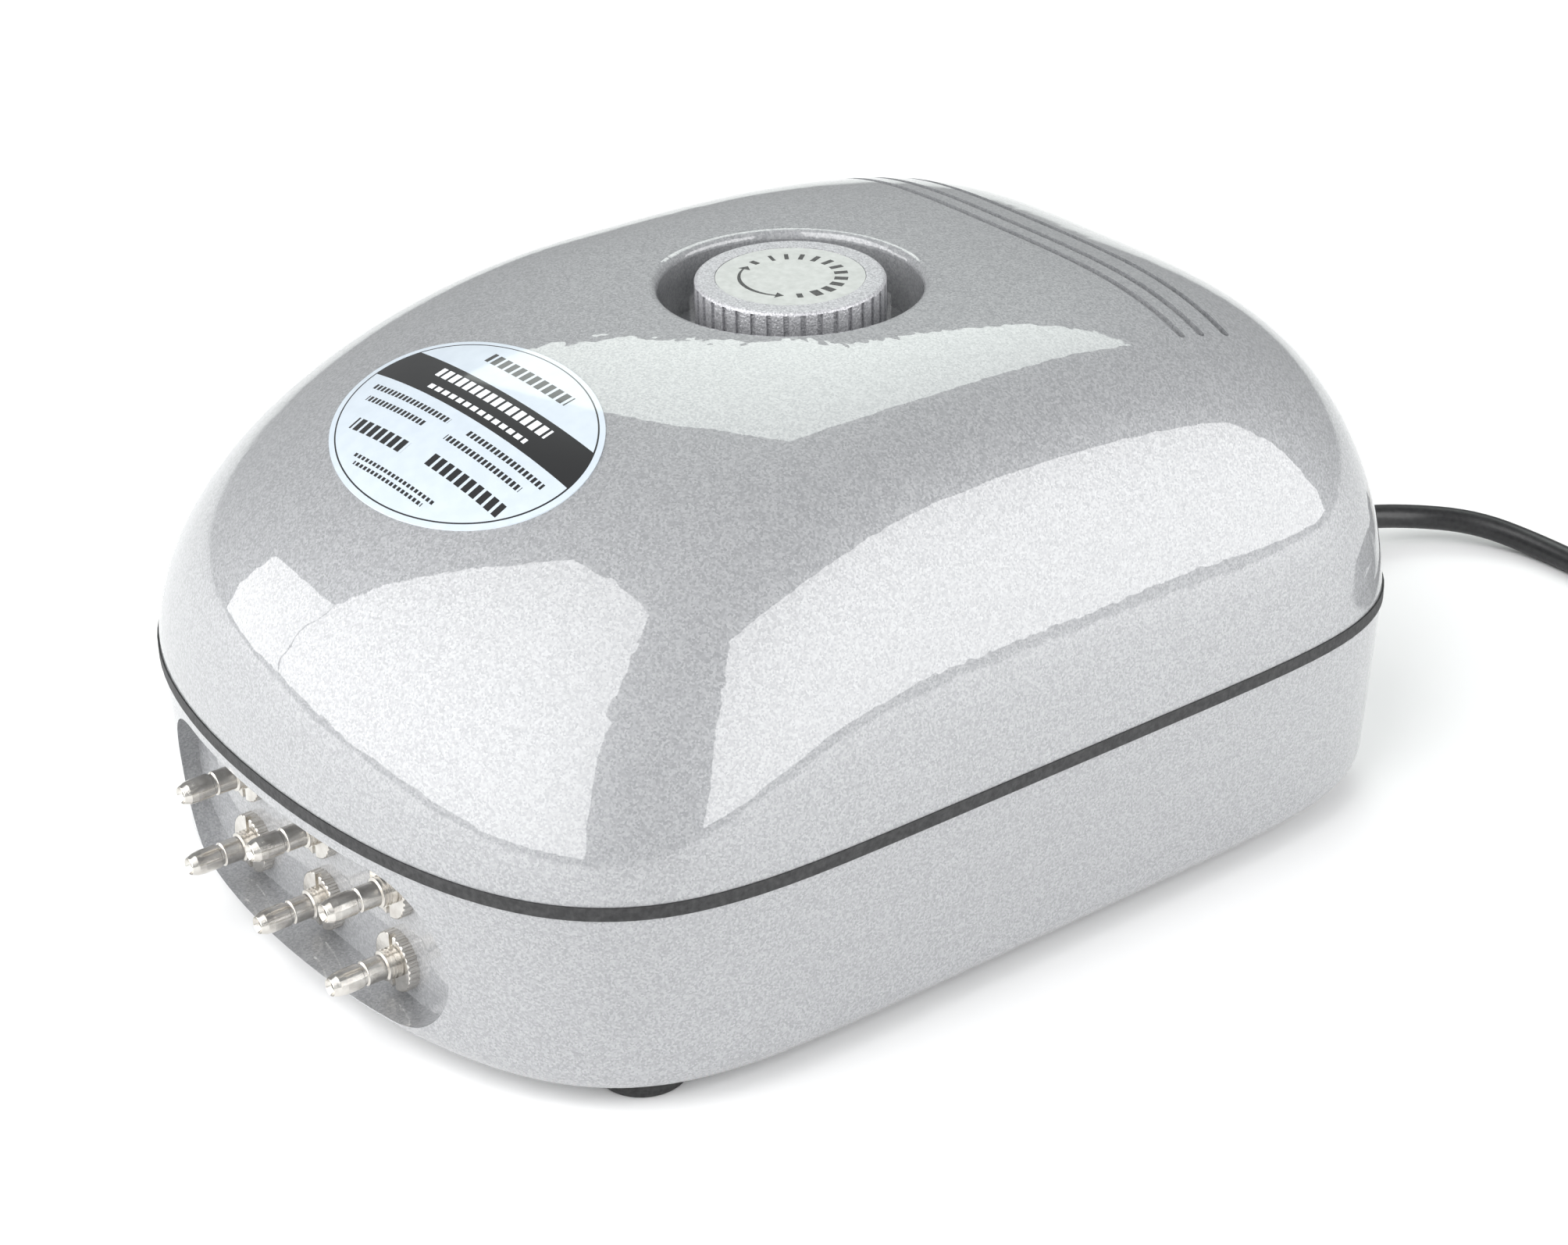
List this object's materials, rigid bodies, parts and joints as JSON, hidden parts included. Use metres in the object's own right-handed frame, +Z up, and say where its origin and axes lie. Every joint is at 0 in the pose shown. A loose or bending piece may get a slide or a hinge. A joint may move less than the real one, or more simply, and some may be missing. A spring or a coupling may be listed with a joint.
{
  "type": "air pump",
  "caption": "Mains aquarium air pump: domed two-part case, ribbed control knob, recessed plated outlets, swing-arm diaphragm module inside, mains cord.",
  "frame": {"origin": "on the floor under the middle of the pump, nipples included and cord left out", "axes": "+Z up, -Y the way the outlets face, +Y the way the cord leaves, x = 0 the case's symmetry plane"},
  "size_m": [0.2278, 0.4034, 0.1109],
  "materials": {
    "silver_paint": "fine metallic silver under clear coat",
    "gasket_rubber": "matt black",
    "knob_plastic": "silver, fine texture",
    "knob_inlay": "printed film",
    "label_film": "printed film",
    "nickel": "bright nickel plate",
    "foot_rubber": "matt black",
    "steel": "zinc plated",
    "black_plastic": "moulded",
    "clear_seal": "silicone",
    "felt": "white felt",
    "iron_core": "laminated, varnished",
    "bobbin": "natural nylon",
    "copper": "enamelled wire",
    "magnet": "ferrite",
    "arm_plastic": "glass-filled nylon",
    "diaphragm_rubber": "matt black",
    "head_plastic": "moulded grey",
    "silicone_hose": "translucent silicone",
    "board_laminate": "bare laminate",
    "components": "mixed components",
    "lead_insulation": "PVC",
    "cord_pvc": "satin black PVC",
    "plug_plastic": "moulded black"
  },
  "bodies": {
    "case": {"lower_shell": "silver_paint", "upper_shell": "silver_paint", "shell_gasket": "gasket_rubber", "name_label": "label_film", "outlet_nipple_1": "nickel", "outlet_nipple_2": "nickel", "outlet_nipple_3": "nickel", "outlet_nipple_4": "nickel", "outlet_nipple_5": "nickel", "outlet_nipple_6": "nickel", "outlet_lock_nuts": "nickel", "foot_front_left": "foot_rubber", "foot_front_right": "foot_rubber", "foot_rear_left": "foot_rubber", "foot_rear_right": "foot_rubber", "chassis_dampers": "foot_rubber", "case_screws": "steel", "pump_chassis": "steel", "chassis_screws": "steel", "arm_pivot_pins": "steel", "head_screws": "steel", "potentiometer": "steel", "pot_nut": "steel", "plug_pins": "steel", "air_manifold": "black_plastic", "manifold_lid": "black_plastic", "filter_cover": "black_plastic", "outlet_seal_rings": "clear_seal", "valve_flaps": "clear_seal", "filter_felt": "felt", "core_laminations": "iron_core", "coil_bobbin": "bobbin", "coil_winding": "copper", "diaphragm_left": "diaphragm_rubber", "diaphragm_right": "diaphragm_rubber", "pump_head_left": "head_plastic", "pump_head_right": "head_plastic", "head_cover_left": "head_plastic", "head_cover_right": "head_plastic", "air_hose_left": "silicone_hose", "air_hose_right": "silicone_hose", "control_board": "board_laminate", "board_components": "components", "mains_leads": "lead_insulation", "coil_leads": "lead_insulation", "strain_relief": "cord_pvc", "power_cord": "cord_pvc", "cord_coil": "cord_pvc", "plug_lead": "cord_pvc", "plug_body": "plug_plastic"},
    "knob": {"control_knob": "knob_plastic", "knob_label": "knob_inlay", "pot_shaft": "steel"},
    "arm_right": {"swing_arm_right": "arm_plastic", "arm_magnet_right": "magnet", "diaphragm_clamp_right": "steel"},
    "arm_left": {"swing_arm_left": "arm_plastic", "arm_magnet_left": "magnet", "diaphragm_clamp_left": "steel"}
  },
  "joints": [
    {"name": "knob_turn", "type": "hinge", "parent": "case", "child": "knob", "pos_m": [0, 0.0113, 0.0975], "axis": [0, 0, 1], "range_deg": [-270, 0]},
    {"name": "arm_right_swing", "type": "hinge", "parent": "case", "child": "arm_right", "pos_m": [0.0325, 0.0479, 0.031], "axis": [0, 0, 1], "range_deg": [-1.2, 1.2], "stiffness_Nm_per_rad": 0.5, "deforming": ["diaphragm_right"]},
    {"name": "arm_left_swing", "type": "hinge", "parent": "case", "child": "arm_left", "pos_m": [-0.0325, 0.0479, 0.031], "axis": [0, 0, 1], "range_deg": [-1.2, 1.2], "stiffness_Nm_per_rad": 0.5, "deforming": ["diaphragm_left"]}
  ],
  "couplings": [
    {"joint": "arm_left_swing", "follows": "arm_right_swing", "ratio": -1}
  ]
}
